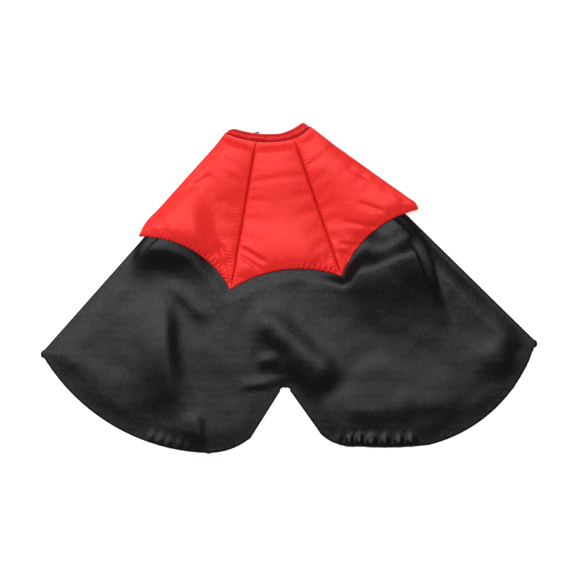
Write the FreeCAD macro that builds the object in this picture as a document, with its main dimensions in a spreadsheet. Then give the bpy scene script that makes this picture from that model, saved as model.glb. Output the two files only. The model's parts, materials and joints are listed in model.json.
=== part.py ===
import FreeCAD, Part
import Sketcher
import os

# A small bat-wing costume cape, lying face up on a table with its neck closure fastened.
# Units are millimetres.  +X runs across the wings, +Y from the tail notch to the neck, +Z up.
# The origin is the middle of the cape's box, on the table.
# The cloth lies on the table up to the slope under the collar, then climbs to the neckline,
# where the fastened closure holds the neck loop open below it.

SIZES = (
    # the whole cape
    ("half_span", 247.5),            # middle to either wing tip
    ("half_length", 165.0),          # middle to the neck peak, and to the lowest hem
    ("satin", 0.6),                  # one layer of satin as it lies
    ("fold_gap", 0.3),               # air between pieces that move against each other
    # how the cloth climbs to the neckline
    ("slope_start_y", 64.0),
    ("slope_end_y", 128.0),
    ("neck_rise", 9.0),
    # cape outline: wing tips
    ("left_wing_y", -66.0),
    ("right_wing_y", -55.5),
    ("wing_tip_half", 4.0),
    ("wing_tip_bulge", 2.6),
    # cape outline: left lobe
    ("left_lobe_x", -83.4),
    ("left_lobe_sweep", 23.5),
    ("left_lobe_inner_x", -38.0),
    ("left_lobe_inner_y", -149.5),
    ("left_lobe_turn", 4.5),
    # cape outline: tail notch
    ("notch_x", -3.8),
    ("notch_y", -103.5),
    ("notch_half", 5.2),
    ("notch_round", 3.7),
    # cape outline: right lobe
    ("right_lobe_inner_x", 31.0),
    ("right_lobe_inner_y", -145.0),
    ("right_lobe_turn", 4.4),
    ("right_lobe_x", 68.0),
    ("right_lobe_y", -158.5),
    ("right_lobe_flat", 1.8),
    ("right_hem_x", 140.0),
    ("right_hem_y", -157.0),
    ("right_hem_sweep", 18.5),
    # cape outline: shoulders and neckline
    ("shoulder_right_x", 119.0),
    ("shoulder_right_y", 72.0),
    ("cape_neck_left_x", -57.0),
    ("cape_neck_left_y", 150.0),
    ("cape_neck_right_x", 12.0),
    ("cape_neck_right_y", 157.0),
    ("cape_neck_dip", 4.5),
    # collar outline
    ("collar_left_top_x", -72.8),
    ("collar_left_bend_x", -133.0),
    ("collar_left_bend_y", 75.5),
    ("collar_left_bend", 2.2),
    ("collar_left_tip_x", -149.6),
    ("collar_left_tip_y", 51.0),
    ("left_scallop", 14.8),
    ("left_point_x", -58.2),
    ("left_point_y", -1.4),
    ("centre_scallop", 12.7),
    ("right_point_x", 52.6),
    ("right_point_y", 12.0),
    ("right_scallop", 12.6),
    ("collar_right_tip_x", 128.5),
    ("collar_right_tip_y", 78.0),
    ("collar_right_round", 2.0),
    ("collar_right_bend_x", 121.0),
    ("collar_right_bend_y", 88.3),
    ("collar_right_top_x", 45.4),
    # collar make-up
    ("hinge_y", 142.6),              # the line that the collar lifts about
    ("wadding", 1.8),
    ("wadding_inset", 2.5),
    ("seam_left_top_x", -33.4),
    ("seam_right_top_x", 7.6),
    ("seam_half", 0.7),              # half the channel that a rib seam pulls down
    ("thread_half", 0.4),
    ("thread", 0.3),
    # neckband
    ("band_proud", 0.5),             # how far the band stands above the collar
    ("band_left_x", -63.8),
    ("band_left_y", 153.0),
    ("band_low_x", -4.8),
    ("band_low_y", 145.9),
    ("band_left_dip", 3.8),
    ("band_right_dip", 2.6),
    ("band_right_x", 22.0),
    ("band_right_y", 159.4),
    ("band_peak_x", 14.6),
    ("band_top_x", -8.0),
    ("band_top_y", 153.9),
    ("band_top_right_dip", 1.4),
    ("band_top_left_dip", 2.4),
    ("band_corner_x", -55.0),
    ("band_corner_y", 158.6),
    ("band_end_x", -60.0),
    ("band_end_y", 157.2),
    ("topstitch_in", 0.7),
    # neck tab and neck strap
    ("strap_width", 12.0),
    ("strap_cloth", 0.8),
    ("tab_root_x", -57.0),
    ("tab_root_y", 146.2),
    ("tab_tilt", 8.0),               # degrees
    ("tab_slope", 12.0),
    ("strap_root_x", 12.0),
    ("strap_root_y", 146.4),
    ("strap_slope", 17.0),
    ("root_gap", 0.3),               # air between a strap's root and the lining above it
    # hook-and-loop patches
    ("closure_x", -38.4),            # where the two patches meet
    ("patch_half_length", 7.0),
    ("patch_half_width", 4.0),
    ("patch", 0.9),
    ("patch_inset", 2.2),            # from the free end of its strap
    ("patch_border", 0.8),
    # folds
    ("wing_fold_clearance", 7.0),    # fold line to the collar's tip beside it
)

doc = FreeCAD.newDocument("bat_wing_cape")
sheet = doc.addObject("Spreadsheet::Sheet", "Sizes")
for row, (alias, amount) in enumerate(SIZES, start=1):
    sheet.set("A%d" % row, alias)
    sheet.set("B%d" % row, "%g" % amount)
    sheet.setAlias("B%d" % row, alias)
doc.recompute()


def size(words):
    """The value of a sum of named sizes, such as "half_span - wing_tip_bulge"."""
    total = 0.0
    sign = 1.0
    for word in words.split():
        if word == "+":
            sign = 1.0
        elif word == "-":
            sign = -1.0
        else:
            total += sign * float(sheet.get(word))
    return total


def formula(words):
    """The same sum as an expression on the sheet."""
    return " ".join(word if word in "+-" else "Sizes." + word for word in words.split())


def bound_sketch(name, corners):
    """A closed sketch through named corners.  Each corner is (x, y, bulge of the edge after it):
    a bulge swells the edge to the right of the way round, and None leaves it straight."""
    sketch = doc.addObject("Sketcher::SketchObject", name)
    points = [FreeCAD.Vector(size(x), size(y), 0) for x, y, bulge in corners]
    starts = []
    for number, (x, y, bulge) in enumerate(corners):
        here = points[number]
        there = points[(number + 1) % len(points)]
        if bulge is None:
            edge = sketch.addGeometry(Part.LineSegment(here, there), False)
        else:
            along = there - here
            side = FreeCAD.Vector(along.y, -along.x, 0).normalize()
            middle = (here + there) * 0.5 + side * size(bulge)
            edge = sketch.addGeometry(Part.Arc(here, middle, there), False)
        first = 1 if sketch.getPoint(edge, 1).distanceToPoint(here) < 0.001 else 2
        starts.append((edge, first))
    for number, (x, y, bulge) in enumerate(corners):
        edge, first = starts[number]
        before, before_first = starts[number - 1]
        sketch.addConstraint(Sketcher.Constraint("Coincident", before, 3 - before_first, edge, first))
        for kind, words in (("DistanceX", x), ("DistanceY", y)):
            limit = Sketcher.Constraint(kind, -1, 1, edge, first, size(words))
            index = sketch.addConstraint(limit)
            sketch.setExpression("Constraints[%d]" % index, formula(words))
        if bulge is not None:
            next_x, next_y, next_bulge = corners[(number + 1) % len(corners)]
            chord = points[(number + 1) % len(points)] - points[number]
            depth = abs(size(bulge))
            index = sketch.addConstraint(
                Sketcher.Constraint("Radius", edge, chord.Length ** 2 / (8 * depth) + depth / 2))
            squares = "((%s) - (%s))^2 + ((%s) - (%s))^2" % (
                formula(next_x), formula(x), formula(next_y), formula(y))
            depth_words = "abs(%s)" % formula(bulge)
            sketch.setExpression("Constraints[%d]" % index,
                                 "(%s) / (8 * %s) + %s / 2" % (squares, depth_words, depth_words))
    return sketch


def extruded(name, sketch, length, both_ways=False):
    """A solid drawn straight up from a sketch, or half each way."""
    solid = doc.addObject("Part::Extrusion", name)
    solid.Base = sketch
    solid.DirMode = "Normal"
    solid.Solid = True
    solid.Symmetric = both_ways
    solid.setExpression("LengthFwd", length)
    return solid


def plan_block(name, corners):
    """An outline seen from above, drawn up past every layer of the cape."""
    return extruded(name + "_block", bound_sketch(name + "_outline", corners), "3 * Sizes.neck_rise")


def lay_of_cloth(name, underside, upper_side):
    """A slab that follows the lie of the cloth: flat on the table, then up the slope to the neck.
    underside and upper_side are heights above the table where the cloth is flat."""
    sketch = bound_sketch(name + "_side", (
        ("- half_length - half_length", underside, None),
        ("slope_start_y", underside, None),
        ("slope_end_y", underside + " + neck_rise", None),
        ("half_length + half_length", underside + " + neck_rise", None),
        ("half_length + half_length", upper_side + " + neck_rise", None),
        ("slope_end_y", upper_side + " + neck_rise", None),
        ("slope_start_y", upper_side, None),
        ("- half_length - half_length", upper_side, None)))
    sketch.Placement = FreeCAD.Placement(
        FreeCAD.Vector(0, 0, 0), FreeCAD.Rotation(FreeCAD.Vector(1, 1, 1), 120))
    return extruded(name + "_slab", sketch, "4 * Sizes.half_span", both_ways=True)


def boolean(kind, name, base, tool):
    """A Part::Common or Part::Cut of two objects."""
    result = doc.addObject("Part::" + kind, name)
    result.Base = base
    result.Tool = tool
    result.Label = name
    return result


def layer(name, block, slab):
    """The piece of a slab of cloth that an outline cuts out."""
    return boolean("Common", name, block, slab)


def room(name, low_x, high_x):
    """A box over the whole depth of the cape between two places across it."""
    box = doc.addObject("Part::Box", name)
    box.setExpression("Length", formula(high_x) + " - (" + formula(low_x) + ")")
    box.setExpression("Width", "4 * Sizes.half_length")
    box.setExpression("Height", "4 * Sizes.neck_rise")
    box.setExpression("Placement.Base.x", formula(low_x))
    box.setExpression("Placement.Base.y", "-2 * Sizes.half_length")
    box.setExpression("Placement.Base.z", "-2 * Sizes.neck_rise")
    return box


# Heights of the layers above the table, where the cloth lies flat.
TABLE = "satin - satin"
LINING_TOP = "satin"
SHELL_TOP = "satin + satin"
COLLAR_FOOT = SHELL_TOP + " + fold_gap"
BACKING_TOP = COLLAR_FOOT + " + satin"
WADDING_TOP = BACKING_TOP + " + wadding"
COLLAR_TOP = WADDING_TOP + " + satin"
BAND_TOP = COLLAR_TOP + " + band_proud"

# The cape folds along these lines, and the collar lifts along hinge_y.
LEFT_FOLD = "collar_left_tip_x - wing_fold_clearance"
RIGHT_FOLD = "collar_right_tip_x + wing_fold_clearance"
COLLAR_HEAD_Y = "hinge_y - fold_gap"


def make_cape():
    """Black shell and red lining, bagged out together, each in a centre and two folding wings."""
    block = plan_block("cape", (
        ("cape_neck_left_x", "cape_neck_left_y", None),
        ("- half_span + wing_tip_bulge", "left_wing_y + wing_tip_half", "wing_tip_bulge"),
        ("- half_span + wing_tip_bulge", "left_wing_y - wing_tip_half", "left_lobe_sweep"),
        ("left_lobe_x", "- half_length", "left_lobe_turn"),
        ("left_lobe_inner_x", "left_lobe_inner_y", None),
        ("notch_x - notch_half", "notch_y", "- notch_round"),
        ("notch_x + notch_half", "notch_y", None),
        ("right_lobe_inner_x", "right_lobe_inner_y", "right_lobe_turn"),
        ("right_lobe_x", "right_lobe_y", "right_lobe_flat"),
        ("right_hem_x", "right_hem_y", "right_hem_sweep"),
        ("half_span - wing_tip_bulge", "right_wing_y - wing_tip_half", "wing_tip_bulge"),
        ("half_span - wing_tip_bulge", "right_wing_y + wing_tip_half", None),
        ("shoulder_right_x", "shoulder_right_y", None),
        ("cape_neck_right_x", "cape_neck_right_y", "- cape_neck_dip")))
    rooms = (
        ("left_wing", room("left_wing_room", "- half_span - half_span", LEFT_FOLD)),
        ("centre", room("centre_room", LEFT_FOLD + " + fold_gap", RIGHT_FOLD + " - fold_gap")),
        ("right_wing", room("right_wing_room", RIGHT_FOLD, "half_span + half_span")))
    pieces = []
    for cloth, underside, upper_side in (
            ("cape_lining", TABLE, LINING_TOP),
            ("cape_shell", LINING_TOP, SHELL_TOP)):
        whole = layer(cloth + "_whole", block, lay_of_cloth(cloth, underside, upper_side))
        for part_name, space in rooms:
            pieces.append(boolean("Common", cloth + "_" + part_name, whole, space))
    return pieces


def make_collar():
    """Three padded satin panels over one backing, with a stitched channel between each two."""
    left_edge = (
        ("collar_left_top_x", COLLAR_HEAD_Y, None),
        ("collar_left_bend_x", "collar_left_bend_y", "collar_left_bend"),
        ("collar_left_tip_x", "collar_left_tip_y", "- left_scallop"))
    right_edge = (
        ("collar_right_tip_x", "collar_right_tip_y", "collar_right_round"),
        ("collar_right_bend_x", "collar_right_bend_y", None),
        ("collar_right_top_x", COLLAR_HEAD_Y, None))
    panels = (
        ("left", left_edge + (
            ("left_point_x - seam_half", "left_point_y", None),
            ("seam_left_top_x - seam_half", COLLAR_HEAD_Y, None))),
        ("centre", (
            ("seam_left_top_x + seam_half", COLLAR_HEAD_Y, None),
            ("left_point_x + seam_half", "left_point_y", "- centre_scallop"),
            ("right_point_x - seam_half", "right_point_y", None),
            ("seam_right_top_x - seam_half", COLLAR_HEAD_Y, None))),
        ("right", (
            ("seam_right_top_x + seam_half", COLLAR_HEAD_Y, None),
            ("right_point_x + seam_half", "right_point_y", "- right_scallop")) + right_edge))
    backing_block = plan_block("collar_backing", left_edge + (
        ("left_point_x", "left_point_y", "- centre_scallop"),
        ("right_point_x", "right_point_y", "- right_scallop")) + right_edge)
    pieces = [layer("collar_backing", backing_block,
                    lay_of_cloth("collar_backing", COLLAR_FOOT, BACKING_TOP))]
    cover_slab = lay_of_cloth("collar_cover", BACKING_TOP, COLLAR_TOP)
    wadding_slab = lay_of_cloth("collar_wadding", BACKING_TOP, WADDING_TOP)
    for side, corners in panels:
        outline = bound_sketch("collar_%s_outline" % side, corners)
        cover_block = extruded("collar_%s_block" % side, outline, "3 * Sizes.neck_rise")
        inner = doc.addObject("Part::Offset2D", "wadding_%s_outline" % side)
        inner.Source = outline
        inner.Join = "Intersection"
        inner.setExpression("Value", "-Sizes.wadding_inset")
        wadding_block = extruded("wadding_%s_block" % side, inner, "3 * Sizes.neck_rise")
        wadding = layer("collar_wadding_" + side, wadding_block, wadding_slab)
        cover = layer("cover_" + side, cover_block, cover_slab)
        pieces.append(wadding)
        pieces.append(boolean("Cut", "collar_panel_" + side, cover, wadding))
    return pieces


def make_rib_stitching():
    """The thread that draws each rib seam down onto the backing."""
    slab = lay_of_cloth("rib_thread", BACKING_TOP, BACKING_TOP + " + thread")
    pieces = []
    for side in ("left", "right"):
        top_x = "seam_%s_top_x" % side
        point_x = "%s_point_x" % side
        point_y = "%s_point_y" % side
        block = plan_block("rib_stitching_" + side, (
            (top_x + " - thread_half", COLLAR_HEAD_Y, None),
            (point_x + " - thread_half", point_y, None),
            (point_x + " + thread_half", point_y, None),
            (top_x + " + thread_half", COLLAR_HEAD_Y, None)))
        pieces.append(layer("rib_stitching_" + side, block, slab))
    return pieces


def make_neckband():
    """The folded satin band round the neckline, the collar's sewn-down head, and the topstitching."""
    band_foot = (
        ("band_left_x", "band_left_y", "band_left_dip"),
        ("band_low_x", "band_low_y", "band_right_dip"),
        ("band_right_x", "band_right_y", None))
    band_block = plan_block("neckband", band_foot + (
        ("band_peak_x", "half_length", "band_top_right_dip - band_top_right_dip - band_top_right_dip"),
        ("band_top_x", "band_top_y", "- band_top_left_dip"),
        ("band_corner_x", "band_corner_y", None),
        ("band_end_x", "band_end_y", None)))
    neckband = layer("neckband", band_block, lay_of_cloth("neckband", SHELL_TOP, BAND_TOP))
    strip_block = plan_block("collar_seam_strip", (
        ("collar_left_top_x", "hinge_y", None),
        ("collar_right_top_x", "hinge_y", None),
        ("band_right_x", "band_right_y", "- band_right_dip"),
        ("band_low_x", "band_low_y", "- band_left_dip"),
        ("band_left_x", "band_left_y", None)))
    strip = layer("collar_seam_strip", strip_block,
                  lay_of_cloth("collar_seam_strip", SHELL_TOP, COLLAR_TOP))
    near = " + topstitch_in"
    far = near + " + thread_half + thread_half"
    thread_block = plan_block("neckband_topstitching", (
        ("band_left_x + topstitch_in", "band_left_y" + near, "band_left_dip"),
        ("band_low_x", "band_low_y" + near, "band_right_dip"),
        ("band_right_x - topstitch_in - topstitch_in", "band_right_y" + near, None),
        ("band_right_x - topstitch_in - topstitch_in", "band_right_y" + far, "- band_right_dip"),
        ("band_low_x", "band_low_y" + far, "- band_left_dip"),
        ("band_left_x + topstitch_in", "band_left_y" + far, None)))
    topstitching = layer("neckband_topstitching", thread_block,
                         lay_of_cloth("neckband_topstitching", BAND_TOP, BAND_TOP + " + thread"))
    return [neckband, strip, topstitching]


def strap_piece(name, root, reach, drop_run, flat_z):
    """A strap seen from its edge: from its root under the neckline down to flat_z, then level.
    Its own frame has the root at x = 0; reach and drop_run are signed along x."""
    root_top = "neck_rise - root_gap"
    root_foot = root_top + " - strap_cloth"
    flat_top = flat_z + " + strap_cloth"
    corners = (
        ("satin - satin", root_foot, None),
        (drop_run, flat_z, None),
        (reach, flat_z, None),
        (reach, flat_top, None),
        (drop_run, flat_top, None),
        ("satin - satin", root_top, None))
    sketch = bound_sketch(name + "_side", corners)
    upright = FreeCAD.Placement(
        FreeCAD.Vector(0, 0, 0), FreeCAD.Rotation(FreeCAD.Vector(1, 0, 0), 90))
    sketch.Placement = root.multiply(upright)
    strap = extruded(name, sketch, "Sizes.strap_width", both_ways=True)
    strap.Label = name
    return strap


def patch_box(name, root, middle_x, foot_z, half_length, half_width, height):
    """A box centred on a strap at middle_x along it."""
    box = doc.addObject("Part::Box", name)
    box.setExpression("Length", "2 * (%s)" % formula(half_length))
    box.setExpression("Width", "2 * (%s)" % formula(half_width))
    box.setExpression("Height", formula(height))
    corner = FreeCAD.Vector(middle_x - size(half_length), -size(half_width), foot_z)
    box.Placement = root.multiply(FreeCAD.Placement(corner, FreeCAD.Rotation()))
    return box


def closure_patch(kind, root, middle_x, foot_z, stitch_z):
    """A hook or loop patch and the frame of thread that sews its border to the strap."""
    patch = patch_box(kind + "_patch", root, middle_x, foot_z,
                      "patch_half_length", "patch_half_width", "patch")
    patch.Label = kind + "_patch"
    frame_outer = patch_box(kind + "_frame", root, middle_x, stitch_z,
                            "patch_half_length + patch_border", "patch_half_width + patch_border",
                            "thread")
    frame = boolean("Cut", kind + "_patch_stitching", frame_outer, patch)
    return [patch, frame]


def make_closure():
    """A short tab on the left end of the neckline and a long strap on the right, closed together."""
    strap_root = FreeCAD.Placement(
        FreeCAD.Vector(size("strap_root_x"), size("strap_root_y"), 0), FreeCAD.Rotation())
    tab_root = FreeCAD.Placement(
        FreeCAD.Vector(size("tab_root_x"), size("tab_root_y"), 0),
        FreeCAD.Rotation(FreeCAD.Vector(0, 0, 1), size("tab_tilt")))
    beyond = " + patch_half_length + patch_inset"
    hook_x = "closure_x - strap_root_x"
    loop_x = "closure_x - tab_root_x"
    hook_z = size("strap_cloth")
    loop_z = size("strap_cloth + patch + fold_gap")
    strap = strap_piece("neck_strap", strap_root, hook_x + beyond.replace("+", "-"), "- strap_slope",
                        TABLE)
    hook = closure_patch("hook", strap_root, size(hook_x), hook_z, hook_z)
    tab = strap_piece("neck_tab", tab_root, loop_x + beyond, "tab_slope",
                      "strap_cloth + patch + fold_gap + patch")
    loop = closure_patch("loop", tab_root, size(loop_x), loop_z,
                         loop_z + size("patch") - size("thread"))
    return [strap, tab] + hook + loop


pieces = make_cape() + make_collar() + make_rib_stitching() + make_neckband() + make_closure()
doc.recompute()

for thing in doc.Objects:
    if "Invalid" in thing.State or "Error" in thing.State:
        raise RuntimeError("%s did not build: %s" % (thing.Name, thing.State))
for piece in pieces:
    if piece.Shape.isNull() or not piece.Shape.isValid() or not piece.Shape.Solids:
        raise RuntimeError("%s is not a sound solid" % piece.Label)

os.makedirs("parts", exist_ok=True)
for piece in pieces:
    piece.Shape.exportStep("parts/%s.step" % piece.Label)
    box = piece.Shape.BoundBox
    print("%-26s %2d solid  x %.1f %.1f  y %.1f %.1f  z %.2f %.2f  vol %.1f" % (
        piece.Label, len(piece.Shape.Solids), box.XMin, box.XMax, box.YMin, box.YMax,
        box.ZMin, box.ZMax, piece.Shape.Volume))
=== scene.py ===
import json
import math
import bmesh
import bpy
import numpy as np
from mathutils import Matrix, Vector, noise


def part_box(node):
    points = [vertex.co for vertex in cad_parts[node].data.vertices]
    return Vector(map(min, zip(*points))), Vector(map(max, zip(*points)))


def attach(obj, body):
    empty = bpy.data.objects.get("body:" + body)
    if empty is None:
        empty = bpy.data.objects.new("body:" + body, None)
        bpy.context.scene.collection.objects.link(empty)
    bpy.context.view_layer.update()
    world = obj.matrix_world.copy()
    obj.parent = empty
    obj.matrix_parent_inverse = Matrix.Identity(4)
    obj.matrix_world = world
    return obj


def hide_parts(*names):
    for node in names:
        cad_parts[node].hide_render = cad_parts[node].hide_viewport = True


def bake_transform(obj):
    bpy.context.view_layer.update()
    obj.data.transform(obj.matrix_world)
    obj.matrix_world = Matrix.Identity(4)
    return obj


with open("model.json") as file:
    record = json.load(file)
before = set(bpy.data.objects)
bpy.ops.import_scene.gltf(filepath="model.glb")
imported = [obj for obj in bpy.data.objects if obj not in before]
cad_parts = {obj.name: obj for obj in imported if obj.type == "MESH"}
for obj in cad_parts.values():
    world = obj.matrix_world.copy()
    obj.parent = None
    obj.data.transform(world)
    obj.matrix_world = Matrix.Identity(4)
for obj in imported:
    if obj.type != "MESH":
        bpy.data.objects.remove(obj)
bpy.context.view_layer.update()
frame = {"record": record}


# ---------------------------------------------------------------- studio
# A plain pale table seen from straight above, one large softbox to the upper left, and pale air.

class Wire:
    """One output of a node, with arithmetic that adds Math nodes."""

    def __init__(self, tree, socket):
        self.tree, self.socket = tree, socket

    def maths(self, operation, *others):
        node = self.tree.nodes.new("ShaderNodeMath")
        node.operation = operation
        for place, value in enumerate((self,) + others):
            if isinstance(value, Wire):
                self.tree.links.new(value.socket, node.inputs[place])
            else:
                node.inputs[place].default_value = value
        return Wire(self.tree, node.outputs[0])

    def __add__(self, other):
        return self.maths("ADD", other)

    __radd__ = __add__

    def __mul__(self, other):
        return self.maths("MULTIPLY", other)

    __rmul__ = __mul__

    def __sub__(self, other):
        return self.maths("SUBTRACT", other)

    def sine(self):
        return self.maths("SINE")

    def clamped(self):
        return self.maths("MINIMUM", 1.0).maths("MAXIMUM", 0.0)


class Finish:
    """A material being mixed."""

    def __init__(self, name):
        self.material = bpy.data.materials.new(name)
        self.material.use_nodes = True
        self.tree = self.material.node_tree
        self.shader = self.tree.nodes["Principled BSDF"]
        spot = self.node("ShaderNodeTexCoord")
        self.spot = Wire(self.tree, spot.outputs["Object"])
        split = self.node("ShaderNodeSeparateXYZ", {}, {"Vector": self.spot})
        self.x, self.y = [Wire(self.tree, split.outputs[axis]) for axis in (0, 1)]

    def node(self, kind, settings=None, sockets=None):
        """Any node: its settings first, then the values or wires of its sockets."""
        node = self.tree.nodes.new(kind)
        for key, value in (settings or {}).items():
            setattr(node, key, value)
        for key, value in (sockets or {}).items():
            self.feed(node.inputs[key], value)
        return node

    def feed(self, socket, value):
        if isinstance(value, Wire):
            self.tree.links.new(value.socket, socket)
        else:
            socket.default_value = value

    def noise(self, size, detail=2.0, stretch=(1, 1, 1)):
        """Unevenness from 0 to 1 with features of about this size in metres."""
        mapping = self.node("ShaderNodeMapping", {}, {
            "Vector": self.spot, "Scale": tuple(part / size for part in stretch)})
        texture = self.node("ShaderNodeTexNoise", {}, {
            "Vector": Wire(self.tree, mapping.outputs[0]), "Scale": 1.0, "Detail": detail})
        return Wire(self.tree, texture.outputs[0])

    def mix(self, amount, dark, light):
        node = self.node("ShaderNodeMix", {"data_type": "RGBA"}, {0: amount, 6: dark, 7: light})
        return Wire(self.tree, node.outputs[2])

    def set(self, values):
        for key, value in values.items():
            self.feed(self.shader.inputs[key], value)

    def bump(self, height, distance):
        node = self.node("ShaderNodeBump", {}, {"Height": height, "Distance": distance})
        self.set({"Normal": Wire(self.tree, node.outputs[0])})


def mesh_piece(name, mesh_builder, material):
    """A new object whose mesh is filled by mesh_builder(bm), shaded smooth."""
    mesh = bpy.data.meshes.new(name)
    bm = bmesh.new()
    mesh_builder(bm)
    for face in bm.faces:
        face.smooth = True
    bm.to_mesh(mesh)
    bm.free()
    piece = bpy.data.objects.new(name, mesh)
    bpy.context.scene.collection.objects.link(piece)
    mesh.materials.append(material)
    return piece


TABLE_HALF_SIZE = 2.0
TABLE_DROP = 0.0004          # keeps the table just clear of the cloth


def build_floor(bm):
    bmesh.ops.create_grid(bm, x_segments=1, y_segments=1, size=TABLE_HALF_SIZE)
    bmesh.ops.translate(bm, verts=bm.verts[:], vec=(0, 0, -TABLE_DROP))


table_top = Finish("pale table")
speckle = table_top.noise(0.002)
table_top.set({"Base Color": table_top.mix(speckle, (0.93, 0.93, 0.93, 1), (0.96, 0.96, 0.96, 1)),
               "Roughness": 0.9, "Specular IOR Level": 0.1,
               "Emission Color": (1.0, 1.0, 1.0, 1.0), "Emission Strength": 0.5})
floor = mesh_piece("studio_floor", build_floor, table_top.material)

SOFTBOX_PLACE = Vector((-0.42, 0.54, 1.9))
softbox = bpy.data.lights.new("softbox", "AREA")
softbox.shape = "SQUARE"
softbox.size = 1.4
softbox.energy = 44.0
lamp = bpy.data.objects.new("softbox", softbox)
bpy.context.scene.collection.objects.link(lamp)
lamp.location = SOFTBOX_PLACE
lamp.rotation_euler = (-SOFTBOX_PLACE).to_track_quat("-Z", "Y").to_euler()

world = bpy.data.worlds.new("studio air")
bpy.context.scene.world = world
world.use_nodes = True
pale_air = world.node_tree.nodes["Background"]
pale_air.inputs["Color"].default_value = (1.0, 1.0, 1.0, 1.0)
pale_air.inputs["Strength"].default_value = 0.12
bpy.context.scene.view_settings.view_transform = "Standard"

camera_data = bpy.data.cameras.new("camera")
camera_data.lens = 120.0
camera_data.sensor_width = 36.0
FRAME_WIDTH = 0.576          # the width of table in view, in metres
camera = bpy.data.objects.new("camera", camera_data)
bpy.context.scene.collection.objects.link(camera)
camera.location = (-0.001, 0.0, FRAME_WIDTH * camera_data.lens / camera_data.sensor_width)
bpy.context.scene.camera = camera


# ---------------------------------------------------------------- black cape shell
# The shell is one sheet of black satin with two bat-wing lobes and a notch at the tail, bagged out
# with the lining so that its edge is a turned roll with no stitching.  It is made here in a left and a
# right half that meet on the centre back, where neither half moves.

MM = 0.001          # shapes are worked out in mm and made in metres


def between(a, b, amount):
    """0 below a, 1 above b, and a smooth rise from one to the other."""
    part = np.clip((amount - a) / (b - a), 0.0, 1.0)
    return part * part * (3.0 - 2.0 * part)


def edge_path(corners, count):
    """Evenly spaced points, in mm, along corners of (x, y, bulge of the edge after it)."""
    dense = []
    for (x, y, bulge), (next_x, next_y, _) in zip(corners, corners[1:]):
        start = np.array((x, y))
        along = np.array((next_x, next_y)) - start
        side = np.array((along[1], -along[0]))
        share = np.linspace(0.0, 1.0, 41)[:-1, None]
        if bulge:
            # a circular arc through both corners, bulging to the right of the way round
            length = np.hypot(*along)
            turn = 4.0 * math.atan(2.0 * bulge / length)
            radius = length / (2.0 * math.sin(turn / 2.0))
            centre = start + along / 2.0 - side / length * (radius - bulge)
            first = start - centre
            angle = share * turn
            dense.append(centre + np.hstack((
                first[0] * np.cos(angle) - first[1] * np.sin(angle),
                first[0] * np.sin(angle) + first[1] * np.cos(angle))))
        else:
            dense.append(start + along * share)
    dense.append(np.array([corners[-1][:2]], float))
    dense = np.vstack(dense)
    steps = np.hypot(*np.diff(dense, axis=0).T)
    travelled = np.concatenate(((0.0,), np.cumsum(steps)))
    wanted = np.linspace(0.0, travelled[-1], count)
    return np.stack([np.interp(wanted, travelled, dense[:, axis]) for axis in (0, 1)], axis=1)


def along_path(path, share):
    """Points of an evenly spaced path at shares from 0 to 1."""
    places = np.linspace(0.0, 1.0, len(path))
    return np.stack([np.interp(share, places, path[:, axis]) for axis in (0, 1)], axis=1)


def stretch_over(across, down, head, foot, left, right):
    """Places across (0 left, 1 right) and down (0 head, 1 foot) of a panel with those four edges."""
    top, bottom = along_path(head, across), along_path(foot, across)
    first, last = along_path(left, down), along_path(right, down)
    a, d = across[:, None], down[:, None]
    corners = ((1 - a) * (1 - d) * head[0] + a * (1 - d) * head[-1]
               + (1 - a) * d * foot[0] + a * d * foot[-1])
    return (1 - d) * top + d * bottom + (1 - a) * first + a * last - corners


def distance_to(points, path):
    """Distance of each point to a path, how far along the path that is, and on which side, in mm."""
    near = np.full(len(points), 1e9)
    place = np.zeros(len(points))
    side = np.zeros(len(points))
    steps = np.hypot(*np.diff(path, axis=0).T)
    travelled = np.concatenate(((0.0,), np.cumsum(steps)))
    for number, (start, end) in enumerate(zip(path, path[1:])):
        along = end - start
        away = points - start
        share = np.clip((away @ along) / max(along @ along, 1e-9), 0.0, 1.0)
        apart = np.hypot(*(away - share[:, None] * along).T)
        closer = apart < near
        near[closer] = apart[closer]
        place[closer] = travelled[number] + share[closer] * steps[number]
        side[closer] = np.sign(along[0] * away[closer, 1] - along[1] * away[closer, 0])
    return near, place, side


def inside(points, outline):
    """Which points lie inside an outline, by counting the edges crossed on the way out."""
    x, y = points.T
    crossed = np.zeros(len(points), bool)
    for (x0, y0), (x1, y1) in zip(outline, np.roll(outline, -1, axis=0)):
        spans = (y0 > y) != (y1 > y)
        crossed ^= spans & (x < (x1 - x0) * (y - y0) / (y1 - y0 + 1e-12) + x0)
    return crossed


def wander(x, y, size, seed):
    """Smooth unevenness from about -1 to 1 with features of a given size in mm."""
    return np.array([noise.noise(Vector((a / size, b / size, seed))) for a, b in zip(x, y)])


def uneven_wave(place, apart, pitch, jitter, lean, size, seed):
    """A sine of some pitch along a seam, shifted to and fro by up to about jitter radians."""
    return np.sin(2 * math.pi * place / pitch + jitter * wander(place, apart * lean, size, seed))


def cloth_piece(name, edges, segments, height, material, thickness):
    """A panel of cloth over four edges, finer at its edges.  height(points) gives its top in mm."""
    columns, rows = segments

    def build(bm):
        bmesh.ops.create_grid(bm, x_segments=columns, y_segments=rows, size=0.5)
        flat = np.array([v.co for v in bm.verts])
        across = (1.0 - np.cos(math.pi * (flat[:, 0] + 0.5))) / 2.0
        down = (1.0 - np.cos(math.pi * (0.5 - flat[:, 1]))) / 2.0
        points = stretch_over(across, down, *edges)
        for vert, (x, y), z in zip(bm.verts, points, height(points)):
            vert.co = (x * MM, y * MM, z * MM)
        bm.normal_update()
        if sum(face.normal.z for face in bm.faces) < 0:
            bmesh.ops.reverse_faces(bm, faces=bm.faces[:])
        for edge in bm.edges:
            edge.smooth = not edge.is_boundary

    piece = mesh_piece(name, build, material)
    wall = piece.modifiers.new("cloth thickness", "SOLIDIFY")
    wall.thickness = thickness * MM
    wall.offset = -1.0
    return piece


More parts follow.
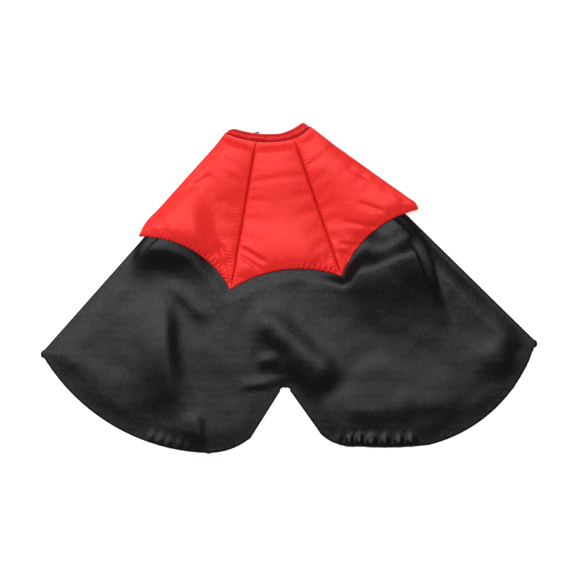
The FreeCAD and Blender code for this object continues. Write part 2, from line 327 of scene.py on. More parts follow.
# How the cloth climbs from the table to the neckline under the collar.
SLOPE_START_Y, SLOPE_END_Y = 60.0, 132.0
NECK_RISE = (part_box("neckband")[0][2] - 2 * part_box("cape_lining_left_wing")[1][2]) / MM


def climb(y):
    return NECK_RISE * between(SLOPE_START_Y, SLOPE_END_Y, y)


# Outlines in mm, from the neck out to the wing tip and back along the hem to the notch.
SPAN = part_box("cape_shell_right_wing")[1][0] / MM
NOTCH_TOP = (-3.8, -99.8, 0)
NECK_MIDDLE = (-22.0, 148.9, 0)
LEFT_TIP = (-SPAN, -66.0, 0)
RIGHT_TIP = (SPAN, -55.5, 0)
CENTRE_BACK = edge_path((NECK_MIDDLE, NOTCH_TOP), 200)
LEFT_SIDE = edge_path(((-57.0, 150.0, 0), (-SPAN + 2.6, -62.0, 1.2), LEFT_TIP), 300)
LEFT_HEM = edge_path((
    (-SPAN, -66.0, 1.2), (-SPAN + 2.6, -70.0, 23.5), (-83.4, -165.0, 4.5), (-38.0, -149.5, 0),
    (-9.0, -103.5, -1.9), NOTCH_TOP), 500)
RIGHT_SIDE = edge_path((
    (12.0, 157.0, 0), (119.0, 72.0, 0), (SPAN - 2.6, -51.5, -1.2), RIGHT_TIP), 300)
RIGHT_HEM = edge_path((
    (SPAN, -55.5, -1.2), (SPAN - 2.6, -59.5, -18.5), (140.0, -157.0, -1.8), (68.0, -158.5, -4.4),
    (31.0, -145.0, 0), (1.4, -103.5, 1.9), NOTCH_TOP), 500)
LEFT_NECK = edge_path(((-57.0, 150.0, 1.1), NECK_MIDDLE), 100)
RIGHT_NECK = edge_path(((12.0, 157.0, -1.1), NECK_MIDDLE), 100)

# The collar's lower edge: three scallops between its four points.
COLLAR_TIP_LEFT, COLLAR_POINT_LEFT = (-149.6, 51.0), (-58.2, -1.4)
COLLAR_POINT_RIGHT, COLLAR_TIP_RIGHT = (52.6, 12.0), (128.5, 78.0)
SCALLOP_LEFT = edge_path(((*COLLAR_TIP_LEFT, -14.8), (*COLLAR_POINT_LEFT, 0)), 120)
SCALLOP_MIDDLE = edge_path(((*COLLAR_POINT_LEFT, -12.7), (*COLLAR_POINT_RIGHT, 0)), 120)
SCALLOP_RIGHT = edge_path(((*COLLAR_POINT_RIGHT, -12.6), (*COLLAR_TIP_RIGHT, 0)), 120)
COLLAR_EDGE = np.vstack((
    edge_path(((-72.8, 142.3, 0), (-133.0, 75.5, 2.2), (*COLLAR_TIP_LEFT, 0)), 60)[:-1],
    SCALLOP_LEFT, SCALLOP_MIDDLE[1:], SCALLOP_RIGHT[1:],
    edge_path(((*COLLAR_TIP_RIGHT, 2.0), (121.0, 88.3, 0), (45.4, 142.3, 0)), 60)[1:]))

# Folds that the cloth keeps from being packed, as crest lines in mm: (from x, y) (to x, y), how far the
# cloth falls away on the left of that way and on its right, its height, and how soft its ends are.
CAPE_FOLDS = (
    ((-128, -14), (-121, -100), 13, 32, 6.8, (36, 34)),
    ((-116, 2), (-82, -30), 7, 8, 1.8, 9),
    ((-112, -84), (-92, -154), 11, 22, 2.2, 26),
    ((-91, -126), (-89, -168), 5, 20, 1.3, 8),
    ((-150, -122), (-228, -58), 16, 26, 1.1, 22),
    ((42, -90), (-28, -28), 20, 16, 6.0, 16),
    ((-12, -70), (-30, -73), 8, 6, 1.6, 7),
    ((-2, -93), (-44, -97), 5, 6, 1.4, 10),
    ((132, 36), (60, 9), 49, 15, 11.2, (8, 36)),
    ((206, -56), (210, -84), 15, 32, 2.3, (12, 12)),
    ((126, 50), (228, -49), 10, 30, 3.0, 12),
    ((162, -112), (50, -122), 15, 30, 2.6, (18, 18)),
    ((104, -80), (64, -84), 12, 14, 1.0, 12),
)
# Where the cape billows under the lower edge of the collar and lifts it, given in the same way.
BILLOWS = (
    ((-84, 59), (-155, 46), 29, 40, 11.0, (14, 18)),
    ((24, 24), (-14, 24), 15, 30, 2.6, 14),
    ((131, 95), (84, 50), 27, 30, 7.2, 14),
)


def fold_heights(points, folds):
    """Height of all the folds at each point."""
    total = np.zeros(len(points))
    for start, end, left_width, right_width, height, soft in folds:
        start, end = np.array(start, float), np.array(end, float)
        along = end - start
        length = np.hypot(*along)
        along /= length
        reach = (points - start) @ along
        side = (points - start) @ np.array((-along[1], along[0]))
        width = np.where(side > 0, left_width, right_width)
        first, last = np.broadcast_to(soft, 2)
        ends = between(-first, first, reach) * (1.0 - between(length - last, length + last, reach))
        total += height * np.exp(-(side / width) ** 2) * ends
    return total


def lie(points):
    """Height of the table's cloth: up the slope to the neck and over the billows under the collar."""
    return climb(points[:, 1]) + fold_heights(points, BILLOWS)


GATHER_IN, GATHER_REACH, GATHER_FADE = 5.0, 7.0, 14.0


def hem_gathers(hem, start, end, pitch, height):
    """Small puckers square to the hem between two places along it, from the hem's (apart, place)."""
    apart, place = hem[:2]
    within = between(start, start + GATHER_FADE, place) * (1 - between(end - GATHER_FADE, end, place))
    puckers = 0.5 + 0.5 * uneven_wave(place, apart, pitch, 2.6, 0.0, 19.0, 3.1)
    return within * height * puckers * np.exp(-((apart - GATHER_IN) / GATHER_REACH) ** 2)


SHELL_CLOTH, SHELL_REST = 0.35, 0.45          # how thick the shell is, and its top at the very edge
ROLL_HEIGHT, ROLL_WIDTH = 1.7, 2.2            # the turned roll along hems and sides
ROLL_UNDER_COLLAR = 0.44                      # how much of it is left where the collar presses it
CALM_WIDTH, CALM_SHARE = 22.0, 0.15           # the seams hold the cloth flatter this near the edge
FREE_START, FREE_END = -2.0, 13.0             # where the cloth comes out from under the collar
UNEVEN_BROAD = (46.0, 1.7)                    # the size and seed of its slight unevenness
UNEVEN_SMALL = (17.0, 4.2)


def shell_height(points):
    """The lie of the shell's top over the lining, rounded down to the table at the rolled edge."""
    x, y = points.T
    hems = [distance_to(points, path[::5]) for path in (LEFT_HEM, RIGHT_HEM)]
    sides = [distance_to(points, path[::5]) for path in (LEFT_SIDE, RIGHT_SIDE)]
    apart = np.minimum.reduce([found[0] for found in hems + sides])
    roll = ROLL_HEIGHT * np.sqrt(1.0 - (1.0 - np.clip(apart / ROLL_WIDTH, 0.0, 1.0)) ** 2)
    rise = fold_heights(points, CAPE_FOLDS)
    billow = fold_heights(points, BILLOWS) * between(0.0, 14.0, apart)
    rise += 1.1 * (1 + wander(x, y, *UNEVEN_BROAD)) + 0.42 * (1 + wander(x, y, *UNEVEN_SMALL))
    rise *= CALM_SHARE + (1.0 - CALM_SHARE) * between(0.0, CALM_WIDTH, apart)
    rise += hem_gathers(hems[1], 158, 254, 13.0, 4.0) + hem_gathers(hems[0], 130, 200, 10.0, 1.6)
    from_collar = distance_to(points, COLLAR_EDGE[::3])[0]
    outside = np.where(inside(points, COLLAR_EDGE[::3]) | (y > 110), -from_collar, from_collar)
    free = between(FREE_START, FREE_END, outside)
    pressed = ROLL_UNDER_COLLAR + (1.0 - ROLL_UNDER_COLLAR) * free
    return SHELL_REST + roll * pressed + rise * free + climb(y) + billow


WARP_PITCH, WEFT_PITCH = 0.0006, 0.00114


def satin(name, deep, lit, roughness, sheen, tint):
    """Satin cloth: long floats that shine, a fine weave, and a slight slub in the yarn."""
    cloth = Finish(name)
    slub = cloth.noise(0.0017, 3.0, (1.0, 0.45, 1.0))
    patch = cloth.noise(0.03, 2.0)
    warp = (cloth.x * (2 * math.pi / WARP_PITCH)).sine()
    weft = (cloth.y * (2 * math.pi / WEFT_PITCH)).sine()
    shade = ((slub - 0.5) * 1.3 + patch * 0.5 + 0.25).clamped()
    cloth.set({"Base Color": cloth.mix(shade, deep, lit),
               "Roughness": roughness - 0.08 + slub * 0.16,
               "Specular IOR Level": sheen, "Specular Tint": tint})
    cloth.bump(warp * 0.25 + weft * 0.25 + slub * 2.2, 0.00009)
    return cloth.material


black_satin = satin("black satin", (0.0028, 0.0026, 0.0032, 1), (0.0052, 0.0050, 0.0060, 1),
                    0.27, 0.235, (0.96, 0.95, 1.0, 1))


BEND_HALF_WIDTH = 8.0 * MM


def fold_at(piece, wing, inward):
    """Bakes a half of the cape in place; the wing's hinge line is read, but nothing folds the half."""
    hinge = next(j for j in frame["record"]["behaviour"]["joints"] if j["child"] == wing)
    x = hinge["pos_m"][0]
    reach = inward * BEND_HALF_WIDTH
    x + reach
    x - reach
    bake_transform(piece)


# For each half: its name, its edges, its wing, which way is inward, its flat size, and its solids.
HALVES = (
    ("left", (LEFT_NECK, LEFT_HEM, LEFT_SIDE, CENTRE_BACK), "left_wing", 1,
     (0.2437, 0.3151), ("left_wing", "centre")),
    ("right", (RIGHT_NECK, RIGHT_HEM, RIGHT_SIDE, CENTRE_BACK), "right_wing", -1,
     (0.2695, 0.3155), ("right_wing",)),
)
for side_name, edges, wing, inward, cut, nodes in HALVES:
    half = cloth_piece("cape_shell_" + side_name + "_half", edges, (200, 170), shell_height,
                       black_satin, SHELL_CLOTH)
    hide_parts(*["cape_shell_" + node for node in nodes])
    fold_at(half, wing, inward)


# ---------------------------------------------------------------- red lining
# The lining is the same outline in red satin, a little smaller so that the black rolls over it.  It
# lies under the shell, shows when a wing turns up, and peeps out by a thread at one place on the hem.

red_satin = satin("red satin", (0.77, 0.019, 0.017, 1), (0.96, 0.034, 0.030, 1),
                  0.34, 1.0, (1.0, 0.20, 0.18, 1))


def inward_by(path, distance):
    """A path moved towards the middle of the cape, for a piece cut that much smaller."""
    toward = np.array((-5.0, 0.0)) - path
    return path + toward / np.hypot(*toward.T)[:, None] * distance


def lining_height(points):
    """The lining sags between the folds of the shell and stays under it."""
    slope = climb(points[:, 1])
    shell = shell_height(points) - slope
    return np.maximum(0.32, shell * 0.55 - 0.55) + slope


LINING_GAP, LINING_CLOTH = 1.1, 0.3
PEEP_PLACE, PEEP_WIDTH, PEEP_OUT = -80.5, 3.5, 2.4          # where the lining shows past the hem
for side_name, edges, wing, inward, cut, nodes in HALVES:
    head, hem, side = [inward_by(path, LINING_GAP) for path in edges[:3]]
    hem[:, 1] -= PEEP_OUT * np.exp(-((hem[:, 0] - PEEP_PLACE) / PEEP_WIDTH) ** 2)
    seam = edge_path(((*head[-1], 0), (*hem[-1], 0)), 200)
    half = cloth_piece("cape_lining_" + side_name + "_half", (head, hem, side, seam), (130, 120),
                       lining_height, red_satin, LINING_CLOTH)
    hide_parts(*["cape_lining_" + node for node in nodes])
    fold_at(half, wing, inward)


# ---------------------------------------------------------------- neck strap and neck tab
# The closure is two flat straps of doubled black satin under the neckline, a long one sewn in at the
# right and a short one at the left that lies over it.  A patch of hook tape on the long one holds a
# patch of loop tape under the short one, each sewn round its border with black thread.

STRAP_WIDTH, STRAP_CLOTH, STRAP_LAYER = 12.0, 0.8, 0.5
EDGE_ROUND, EDGE_DROP = 0.8, 0.25          # the folded long edges of both straps
STRAP_ROOT, STRAP_SLOPE = (12.0, 146.4), 17.0
TAB_ROOT, TAB_SLOPE, TAB_TILT = (-57.0, 146.2), 12.0, math.radians(8.0)
ROOT_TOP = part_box("neck_strap")[1][2] / MM
STRAP_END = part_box("neck_strap")[0][0] / MM
TAB_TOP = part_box("loop_patch")[1][2] / MM + STRAP_CLOTH
TAB_LENGTH = 28.0
TAB_WAY = np.array((math.cos(TAB_TILT), math.sin(TAB_TILT)))


def strap_edges(root, way, length, width=STRAP_WIDTH):
    """The four edges of a strap of cloth that runs from its root along way."""
    across = np.array((-way[1], way[0])) * width / 2.0
    root = np.array(root)
    corners = (root + across, root - across, root + across + way * length, root - across + way * length)
    upper, lower, far_upper, far_lower = [(*corner, 0) for corner in corners]
    return (edge_path((upper, lower), 20), edge_path((far_upper, far_lower), 20),
            edge_path((upper, far_upper), 60), edge_path((lower, far_lower), 60))


def edge_drop(points, edges):
    """How far the top drops at the folded long edges of a strap."""
    apart = np.minimum(*[distance_to(points, path)[0] for path in edges[2:]])
    return EDGE_DROP * (1.0 - np.sqrt(1.0 - (1.0 - np.clip(apart / EDGE_ROUND, 0.0, 1.0)) ** 2))


def strap_height(points):
    z = STRAP_CLOTH + (ROOT_TOP - STRAP_CLOTH) * between(STRAP_ROOT[0] - STRAP_SLOPE, STRAP_ROOT[0],
                                                        points[:, 0])
    return z - edge_drop(points, STRAP_EDGES)


def tab_height(points):
    reach = (points - np.array(TAB_ROOT)) @ TAB_WAY
    z = ROOT_TOP - (ROOT_TOP - TAB_TOP) * between(0.0, TAB_SLOPE, reach)
    return z - edge_drop(points, TAB_EDGES)


STRAP_EDGES = strap_edges(STRAP_ROOT, np.array((-1.0, 0.0)), STRAP_ROOT[0] - STRAP_END)
TAB_EDGES = strap_edges(TAB_ROOT, TAB_WAY, TAB_LENGTH)
neck_strap = cloth_piece("neck_strap_cloth", STRAP_EDGES, (24, 90), strap_height, black_satin,
                         STRAP_LAYER)
neck_tab = cloth_piece("neck_tab_cloth", TAB_EDGES, (24, 60), tab_height, black_satin, STRAP_LAYER)
for piece, node, body, length, under in (
        (neck_strap, "neck_strap", "strap", STRAP_ROOT[0] - STRAP_END, []),
        (neck_tab, "neck_tab", "tab", TAB_LENGTH, ["neck_strap_cloth"])):
    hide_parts(node)
    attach(piece, body)

hook_tape = Finish("hook tape")
stems = (hook_tape.x * (2 * math.pi / 0.0009)).sine() * (hook_tape.y * (2 * math.pi / 0.0009)).sine()
hook_tape.set({"Base Color": hook_tape.mix(stems.clamped(), (0.006, 0.006, 0.006, 1),
                                           (0.035, 0.035, 0.035, 1)),
               "Roughness": 0.45, "Specular IOR Level": 0.4})
hook_tape.bump(stems, 0.0003)
loop_tape = Finish("loop tape")
fuzz = loop_tape.noise(0.0005, 6.0)
loop_tape.set({"Base Color": loop_tape.mix(fuzz, (0.004, 0.004, 0.004, 1), (0.03, 0.03, 0.03, 1)),
               "Roughness": 0.95, "Specular IOR Level": 0.1})
loop_tape.bump(fuzz, 0.0005)
black_thread = Finish("black thread")
twist = ((black_thread.x + black_thread.y) * (2 * math.pi / 0.0005)).sine() * 0.5 + 0.5
black_thread.set({"Base Color": black_thread.mix(twist, (0.004, 0.004, 0.004, 1),
                                                 (0.012, 0.012, 0.012, 1)), "Roughness": 0.6})
black_thread.bump(twist, 0.00005)


def stitch_row(name, path, height, pitch, size, material):
    """Single stitches end to end along a path in mm; size is their half length, width and height."""
    steps = np.hypot(*np.diff(path, axis=0).T)
    count = max(2, int(round(steps.sum() / pitch)))
    middles = along_path(path, (np.arange(count) + 0.5) / count)
    ahead = along_path(path, np.minimum((np.arange(count) + 0.6) / count, 1.0))
    tops = height(middles)
    rise = height(ahead) - tops

    def build(bm):
        for middle, onward, top, up in zip(middles, ahead, tops, rise):
            way = Vector((*(onward - middle), up))
            turn = way.to_track_quat("X", "Z").to_matrix().to_4x4()
            place = Matrix.Translation(Vector((*middle, top)) * MM)
            shape = Matrix.Diagonal((*[part * MM for part in size], 1.0))
            bmesh.ops.create_icosphere(bm, subdivisions=1, radius=1.0, matrix=place @ turn @ shape)

    return mesh_piece(name, build, material)


PATCH_WIDTH, PILE_SIZE, PILE_HEIGHT = 0.008, 0.0006, 0.00004


def patch_build(middle, length, thickness, tilt):
    """A patch of tape: a thin slab with rounded borders and an uneven face."""
    def build(bm):
        bmesh.ops.create_cube(bm, size=1.0)
        bmesh.ops.scale(bm, verts=bm.verts[:], vec=(length, PATCH_WIDTH, thickness))
        bmesh.ops.bevel(bm, geom=bm.edges[:], offset=0.0002, segments=2, profile=0.5,
                        affect="EDGES", material=-1)
        bmesh.ops.subdivide_edges(bm, edges=[e for e in bm.edges if e.calc_length() > 0.004], cuts=24,
                                  use_grid_fill=True)
        for vert in bm.verts:
            if abs(vert.co.z) > thickness * 0.49:
                vert.co.z += PILE_HEIGHT * noise.noise(vert.co / PILE_SIZE + Vector((3.0, 0, 0)))
        bmesh.ops.rotate(bm, verts=bm.verts[:], cent=(0, 0, 0), matrix=Matrix.Rotation(tilt, 3, "Z"))
        bmesh.ops.translate(bm, verts=bm.verts[:], vec=middle)
    return build


BORDER_LENGTH, BORDER_WIDTH = 12.8, 6.8          # the ring of stitches round each patch
BORDER_PITCH, BORDER_STITCH = 2.0, (0.8, 0.16, 0.16)
for kind, body, tape, tilt, length, stitch_z in (("hook", "strap", hook_tape, 0.0, 0.0140, 1.55),
                                                 ("loop", "tab", loop_tape, TAB_TILT, 0.0139, 2.15)):
    low_corner, high_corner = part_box(kind + "_patch")
    middle = (low_corner + high_corner) / 2.0
    patch = mesh_piece(kind + "_tape_patch",
                       patch_build(middle, length, (high_corner - low_corner).z, tilt), tape.material)
    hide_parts(kind + "_patch")
    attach(patch, body)
    way = np.array((math.cos(tilt), math.sin(tilt)))
    border = strap_edges(np.array(middle[:2]) / MM - way * BORDER_LENGTH / 2.0, way, BORDER_LENGTH,
                         BORDER_WIDTH)
    ring = np.vstack((border[2], border[1], border[3][::-1], border[0][::-1]))
    sewing = stitch_row(kind + "_tape_sewing", ring, lambda points, z=stitch_z: points[:, 0] * 0 + z,
                        BORDER_PITCH, BORDER_STITCH, black_thread.material)
    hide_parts(kind + "_patch_stitching")
    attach(sewing, body)


# ---------------------------------------------------------------- collar backing
# The under-layer of the collar is red satin cut to the whole collar, seen from below and when the
# collar is lifted.  It is bagged out with the panels along the scalloped edge.

COLLAR_LIFT = 2.1          # the underside of the pads over the lie of the cloth


def panel_base(points):
    return lie(points) + COLLAR_LIFT


COLLAR_LEFT = edge_path((
    (-63.0, 155.0, 0), (-72.8, 142.3, 0), (-133.0, 75.5, 2.2), (*COLLAR_TIP_LEFT, 0)), 150)
COLLAR_RIGHT = edge_path((
    (21.0, 161.0, 0), (45.4, 142.3, 0), (121.0, 88.3, -2.0), (*COLLAR_TIP_RIGHT, 0)), 150)
COLLAR_MIDDLE = np.array((-14.0, 80.0))


def trimmed(path, distance):
    """A path moved towards the middle of the collar."""
    toward = COLLAR_MIDDLE - path
    return path + toward / np.hypot(*toward.T)[:, None] * distance


BACKING_EDGES = [trimmed(path, 0.8) for path in (
    edge_path(((-63.0, 155.0, 3.0), (-4.8, 148.6, 2.0), (21.0, 161.0, 0)), 200),
    edge_path(((*COLLAR_TIP_LEFT, -14.8), (*COLLAR_POINT_LEFT, -12.7), (*COLLAR_POINT_RIGHT, -12.6),
               (*COLLAR_TIP_RIGHT, 0)), 400), COLLAR_LEFT, COLLAR_RIGHT)]


def backing_height(points):
    return panel_base(points) - 0.02


BACKING_CLOTH = 0.5
backing = cloth_piece("collar_backing_cloth", BACKING_EDGES, (150, 90), backing_height, red_satin,
                      BACKING_CLOTH)
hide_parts("collar_backing")
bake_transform(backing)


# ---------------------------------------------------------------- padded red collar
# Three red satin panels with thin wadding, sewn together along two ribs and bagged out along the
# scalloped edge.  Each panel is blown up a little as cloth held along its seams, which crowns and
# wrinkles it, and the stitching then draws in its edges.

ENLARGED = 0.01          # mm to simulated metres: ten times the real size
BLOWING_FRAMES = 30


def puffed_cloth(edges, segments, pressure, spare):
    """A panel of cloth held along its four edges and pushed up from below: rows of points in mm."""
    columns, rows = segments
    bm = bmesh.new()
    bmesh.ops.create_grid(bm, x_segments=columns, y_segments=rows, size=0.5)
    flat = np.array([v.co for v in bm.verts])
    order = np.lexsort((np.round(flat[:, 0], 5), -np.round(flat[:, 1], 5)))
    points = stretch_over(flat[:, 0] + 0.5, 0.5 - flat[:, 1], *edges)
    lift = 0.4 * wander(points[:, 0], points[:, 1], 14.0, 8.3)
    held = [v.index for v in bm.verts if v.is_boundary]
    lift[held] = 0.0
    for vert, (x, y), z in zip(bm.verts, points, lift):
        vert.co = (x * ENLARGED, y * ENLARGED, z * ENLARGED)
    bm.normal_update()
    if sum(face.normal.z for face in bm.faces) < 0:
        bmesh.ops.reverse_faces(bm, faces=bm.faces[:])
    mesh = bpy.data.meshes.new("panel being blown up")
    bm.to_mesh(mesh)
    bm.free()
    panel = bpy.data.objects.new("panel being blown up", mesh)
    bpy.context.scene.collection.objects.link(panel)
    panel.vertex_groups.new(name="seams").add(held, 1.0, "REPLACE")
    cloth = panel.modifiers.new("cloth", "CLOTH").settings
    cloth.quality = 6
    cloth.mass = 0.15
    cloth.tension_stiffness = 20
    cloth.compression_stiffness = 20
    cloth.shear_stiffness = 6
    cloth.bending_stiffness = 3.0
    cloth.vertex_group_mass = "seams"
    cloth.shrink_min = -spare
    cloth.shrink_max = -spare
    cloth.use_pressure = True
    cloth.use_pressure_volume = True
    cloth.target_volume = 0.0
    cloth.uniform_pressure_force = pressure
    cloth.effector_weights.gravity = 0.0
    scene = bpy.context.scene
    for number in range(1, BLOWING_FRAMES + 1):
        scene.frame_set(number)
    shaped = panel.evaluated_get(bpy.context.evaluated_depsgraph_get())
    found = np.array([v.co for v in shaped.data.vertices]) / ENLARGED
    scene.frame_set(1)
    bpy.data.objects.remove(panel)
    bpy.data.meshes.remove(mesh)
    return found[order].reshape(len(set(np.round(flat[:, 1], 5))), -1, 3)


def finer(rows_of_points, share):
    """A smooth spline through rows of points, read at shares from 0 to 1 along the rows' order."""
    place = share * (len(rows_of_points) - 1)
    start = np.minimum(place.astype(int), len(rows_of_points) - 2)
    t = (place - start).reshape((-1,) + (1,) * (rows_of_points.ndim - 1))
    ends = np.concatenate((2 * rows_of_points[:1] - rows_of_points[1:2], rows_of_points,
                           2 * rows_of_points[-1:] - rows_of_points[-2:-1]))
    weights = ((1 - t) ** 3, 3 * t ** 3 - 6 * t ** 2 + 4, -3 * t ** 3 + 3 * t ** 2 + 3 * t + 1, t ** 3)
    return sum(weight * ends[start + step] for step, weight in enumerate(weights)) / 6.0


def pad_piece(name, surface, base, material):
    """A closed pad: an underside at base(points) and a top through the rows of points in surface."""
    rows, columns = surface.shape[:2]
    upper_points = surface.reshape(-1, 3)
    lower = base(upper_points[:, :2])

    def by_place(vert):
        return -round(vert.co.y, 5), round(vert.co.x, 5)

    def build(bm):
        bmesh.ops.create_grid(bm, x_segments=columns - 1, y_segments=rows - 1, size=0.5)
        under = sorted(bm.verts, key=by_place)
        grown = bmesh.ops.extrude_face_region(bm, geom=bm.faces[:], use_keep_orig=True)
        upper = sorted([part for part in grown["geom"] if isinstance(part, bmesh.types.BMVert)],
                       key=by_place)
        for low_vert, top_vert, (x, y, z), floor_z in zip(under, upper, upper_points, lower):
            top_vert.co = (x * MM, y * MM, z * MM)
            low_vert.co = (x * MM, y * MM, floor_z * MM)
        bmesh.ops.recalc_face_normals(bm, faces=bm.faces[:])

    return mesh_piece(name, build, material)


LEFT_RIB = edge_path(((-32.4, 147.6, 0), (*COLLAR_POINT_LEFT, 0)), 150)
RIGHT_RIB = edge_path(((4.6, 149.6, 0), (*COLLAR_POINT_RIGHT, 0)), 150)
BAND_LOWER = edge_path(((-63.8, 152.6, 4.4), (-4.8, 144.9, 2.8), (22.0, 159.0, 0)), 120)
SEAM = np.array((0.35, 0.0))          # half the width of a rib seam
PANELS = (
    ("left", (edge_path(((-63.0, 155.0, 1.4), (-32.4, 147.6, 0)), 60) - SEAM * 0.5,
              SCALLOP_LEFT - SEAM * 0.5, COLLAR_LEFT, LEFT_RIB - SEAM)),
    ("centre", (edge_path(((-32.4, 147.6, 2.6), (4.6, 149.6, 0)), 60), SCALLOP_MIDDLE,
                LEFT_RIB + SEAM, RIGHT_RIB - SEAM)),
    ("right", (edge_path(((4.6, 149.6, 1.6), (21.0, 161.0, 0)), 60) + SEAM * 0.5,
               SCALLOP_RIGHT + SEAM * 0.5, RIGHT_RIB + SEAM, COLLAR_RIGHT)),
)
EVEN_SHARES = np.linspace(0.0, 1.0, 171)
PANEL_SHARES = 0.5 * EVEN_SHARES + 0.25 * (1.0 - np.cos(math.pi * EVEN_SHARES))


STITCH_PITCH = 3.4          # of the ribs and the neckband, and of the puckers beside the ribs
# For each scallop: the pitch and height of its puckers, and how far along it they begin.
SCALLOP_PUCKERS = ((SCALLOP_LEFT, 4.2, 0.75, 10), (SCALLOP_MIDDLE, 5.0, 0.85, 62),
                   (SCALLOP_RIGHT, 6.0, 0.2, 4))


def drawn_in(points):
    """How the stitching puckers the satin beside the ribs and along the scallops, in mm of height."""
    apart, place, side = distance_to(points, LEFT_RIB[::10])
    left = uneven_wave(place, apart, STITCH_PITCH, 1.2, 0.3, 9.0, 2.2)
    left *= np.exp(-(apart / 6.5) ** 1.5)
    total = 0.8 * between(20.0, 60.0, place) * np.where(side < 0, left, 0.25 * left)
    # the right rib draws in its right side higher up and its left side lower down
    apart, place, side = distance_to(points, RIGHT_RIB[::10])
    right = uneven_wave(place, apart, STITCH_PITCH, 1.2, 0.3, 9.0, 6.2)
    right *= np.exp(-(apart / 4.5) ** 1.5)
    total += 0.55 * right * np.where(side > 0, 1 - between(80.0, 100.0, place),
                                     between(70.0, 95.0, place))
    for scallop, pitch, height, start in SCALLOP_PUCKERS:
        apart, place, _ = distance_to(points, scallop[::8])
        wave = uneven_wave(place, apart, pitch, 1.6, 0.4, 11.0, 5.5)
        wave *= np.exp(-((apart - 2.2) / 3.4) ** 2)
        total += height * wave * between(start, start + 14, place)
    return total


# Deeper wrinkles pressed into the pads, given as the folds of the cape are.
COLLAR_CREASES = (
    ((-47, 40), (-24, 26), 2.5, 3.5, -1.6, 5),
    ((-48, 32), (-30, 20), 2.0, 3.0, -1.0, 5),
    ((-70, 44), (-57, 16), 4.0, 4.0, -1.5, 5),
    ((-88, 34), (-84, 20), 3.0, 3.0, -0.7, 5),
    ((56, 66), (88, 60), 3.0, 3.0, -0.8, 5),
    ((50, 44), (70, 42), 2.5, 3.0, -1.1, 5),
    ((52, 36), (66, 24), 2.5, 3.0, -1.0, 5),
    ((70, 84), (94, 76), 3.0, 3.0, -0.8, 5),
    ((-104, 96), (-78, 112), 3.0, 5.0, -0.8, 5),
    ((-70, 88), (-52, 78), 4.0, 5.0, -0.7, 5),
    ((60, 118), (78, 108), 3.0, 3.0, -0.7, 5),
)

PUFF_LIMIT = 9.0                              # no panel rises further than this
SEAM_ROUND, SEAM_RISE = 2.6, 1.9              # how the pad turns over at its seams
OPEN_EDGE_WIDTH, OPEN_EDGE_RISE = 13.0, 1.5   # the slope of the wadding down to the open edge
BAND_PRESS_WIDTH, BAND_PRESS = 10.0, 0.25     # how flat the neckband presses the pads beside it
CREASE_DEPTH = 1.4
PAD_LEAST = 0.3                               # the two layers of satin where there is no wadding
PUFF_CELLS, PUFF_PRESSURE, PUFF_SPARE = (44, 48), 1.8, 0.008
for panel_name, edges in PANELS:
    blown = puffed_cloth(edges, PUFF_CELLS, PUFF_PRESSURE, PUFF_SPARE)
    blown = finer(blown, PANEL_SHARES)
    blown = np.swapaxes(finer(np.swapaxes(blown, 0, 1), PANEL_SHARES), 0, 1)
    points = blown[..., :2].reshape(-1, 2)
    from_edge = np.minimum.reduce([distance_to(points, path[::6])[0] for path in edges])
    height = np.clip(blown[..., 2].reshape(-1), 0.0, PUFF_LIMIT)
    under_band = distance_to(points, BAND_LOWER[::6])[0]
    open_edge = distance_to(points, COLLAR_EDGE[::3])[0]
    height += SEAM_RISE * np.sqrt(1 - (1 - np.clip(from_edge / SEAM_ROUND, 0, 1)) ** 2)
    height += OPEN_EDGE_RISE * between(0.0, OPEN_EDGE_WIDTH, open_edge)
    height *= BAND_PRESS + (1 - BAND_PRESS) * between(1.0, BAND_PRESS_WIDTH, under_band)
    height += PAD_LEAST
    held = between(0.0, 2.0, from_edge)
    height += (drawn_in(points) + CREASE_DEPTH * fold_heights(points, COLLAR_CREASES)) * held
    blown[..., 2] = (height + panel_base(points)).reshape(blown.shape[:2])
    pad = pad_piece("collar_" + panel_name + "_panel_pad", blown, panel_base, red_satin)
    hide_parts("collar_panel_" + panel_name, "collar_wadding_" + panel_name)
    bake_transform(pad)


# ---------------------------------------------------------------- rib seams
# The panels are joined along two ribs, and a row of dark red stitches holds each seam down between
# its two pads.

red_thread = Finish("red thread")
ply = ((red_thread.x + red_thread.y) * (2 * math.pi / 0.0005)).sine() * 0.5 + 0.5
red_thread.set({"Base Color": red_thread.mix(ply, (0.20, 0.003, 0.006, 1), (0.40, 0.012, 0.016, 1)),
                "Roughness": 0.5, "Specular IOR Level": 0.6, "Specular Tint": (1.0, 0.3, 0.3, 1)})
red_thread.bump(ply, 0.00005)
RIB_STITCH, RIB_LIFT = (1.25, 0.26, 0.2), 0.45
for side_name, rib in (("left", LEFT_RIB), ("right", RIGHT_RIB)):
    ribs = stitch_row("rib_stitches_" + side_name, rib[4:-2],
                      lambda points: panel_base(points) + RIB_LIFT, STITCH_PITCH, RIB_STITCH,
                      red_thread.material)
    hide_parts("rib_stitching_" + side_name)
    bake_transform(ribs)


# ---------------------------------------------------------------- neckband
# The neckband is a strip of red satin folded over the raw top edges of cape and collar.  Under it the
# collar's top is a flat turned seam, and a row of red stitches runs just above its lower edge.

BAND_EDGES = (
    edge_path(((-60.0, 157.2, 0), (-55.0, 158.6, 2.4), (-8.0, 153.9, 1.4), (14.6, 165.0, 0)), 120),
    BAND_LOWER,
    edge_path(((-60.0, 157.2, 0), (-63.8, 153.0, 0)), 20),
    edge_path(((14.6, 165.0, 0), (22.0, 159.4, 0)), 20))
BAND_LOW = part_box("neckband")[0][2] / MM
BAND_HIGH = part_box("neckband")[1][2] / MM
BAND_FULLNESS = 0.42                              # below 0.5: fuller than a plain half round
PRESSED_PLACE, PRESSED_WIDTH, PRESSED_DEPTH = 0.92, 0.05, 0.6          # where the topstitches sink in


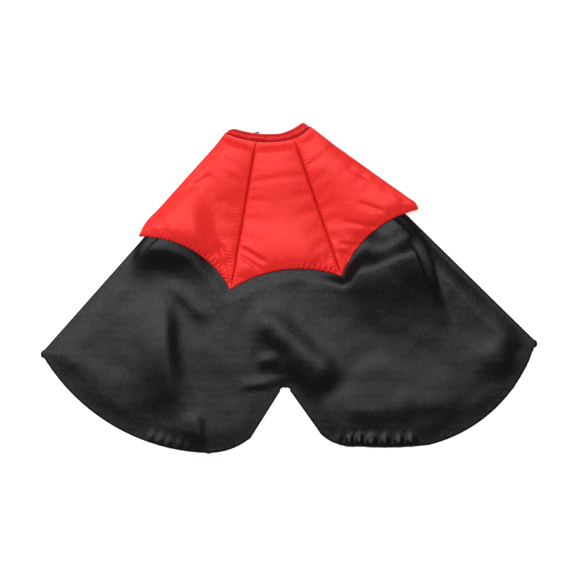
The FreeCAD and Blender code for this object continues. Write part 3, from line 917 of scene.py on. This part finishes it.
def band_surface(edges, height, cells, gathers):
    """Rows of points over a folded strip that is round along both long edges."""
    across, down = np.meshgrid(np.linspace(0.0, 1.0, cells[0] + 1),
                               (1.0 - np.cos(math.pi * np.linspace(0.0, 1.0, cells[1] + 1))) / 2.0)
    across, down = across.reshape(-1), down.reshape(-1)
    points = stretch_over(across, down, *edges)
    full = np.maximum(0.0, 1.0 - (2.0 * down - 1.0) ** 2) ** BAND_FULLNESS
    full *= np.sqrt(np.clip(np.minimum(across, 1.0 - across) * 60.0, 0.0, 1.0))
    ripple = gathers * wander(points[:, 0], points[:, 1] * 0.35, 3.2, 9.1)
    ripple += gathers * wander(points[:, 0], points[:, 1], 9.0, 2.7)
    pressed = PRESSED_DEPTH * np.exp(-((down - PRESSED_PLACE) / PRESSED_WIDTH) ** 2)
    z = BAND_LOW + 0.15 + (height - BAND_LOW) * full + (ripple - pressed) * full
    return np.column_stack((points, z)).reshape(cells[1] + 1, cells[0] + 1, 3)


head_edges = [path + (np.array((-20.0, 156.0)) - path) * 0.06 for path in BAND_EDGES]
collar_head = pad_piece("collar_head_seam", band_surface(head_edges, BAND_LOW + 1.2, (120, 12), 0.05),
                        lambda points: points[:, 0] * 0 + BAND_LOW, red_satin)
# The neckband is the same red satin, given a darker copy here: its deeper red is painted shade.
shaded_red_satin = satin("red satin with painted shade", (0.46, 0.005, 0.008, 1), (0.62, 0.012, 0.014, 1),
                   0.30, 1.0, (1.0, 0.14, 0.13, 1))
neckband = pad_piece("neckband_folded", band_surface(BAND_EDGES, BAND_HIGH, (240, 36), 0.55),
                     lambda points: points[:, 0] * 0 + BAND_LOW + 0.1, shaded_red_satin)
for piece, node, fill in ((collar_head, "collar_seam_strip", 0.1), (neckband, "neckband", 0.4)):
    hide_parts(node)
    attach(piece, "cape")

STITCH_SHARE = 0.08          # of the way up the band from its lower edge
TOPSTITCH, TOPSTITCH_LIFT = (1.35, 0.32, 0.3), 2.55
# The topstitches' pale pink is a painted highlight, as if the thread caught the light.
highlight_painted_thread = Finish("red thread with painted highlight")
highlight_painted_thread.set({"Base Color": highlight_painted_thread.mix(highlight_painted_thread.noise(0.0006), (0.80, 0.16, 0.16, 1),
                                                   (0.95, 0.34, 0.32, 1)), "Roughness": 0.45})
topstitches = stitch_row("neckband_topstitches",
                         (BAND_LOWER * (1 - STITCH_SHARE) + BAND_EDGES[0] * STITCH_SHARE)[3:-3],
                         lambda points: points[:, 0] * 0 + BAND_LOW + TOPSTITCH_LIFT, STITCH_PITCH,
                         TOPSTITCH, highlight_painted_thread.material)
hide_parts("neckband_topstitching")
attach(topstitches, "cape")
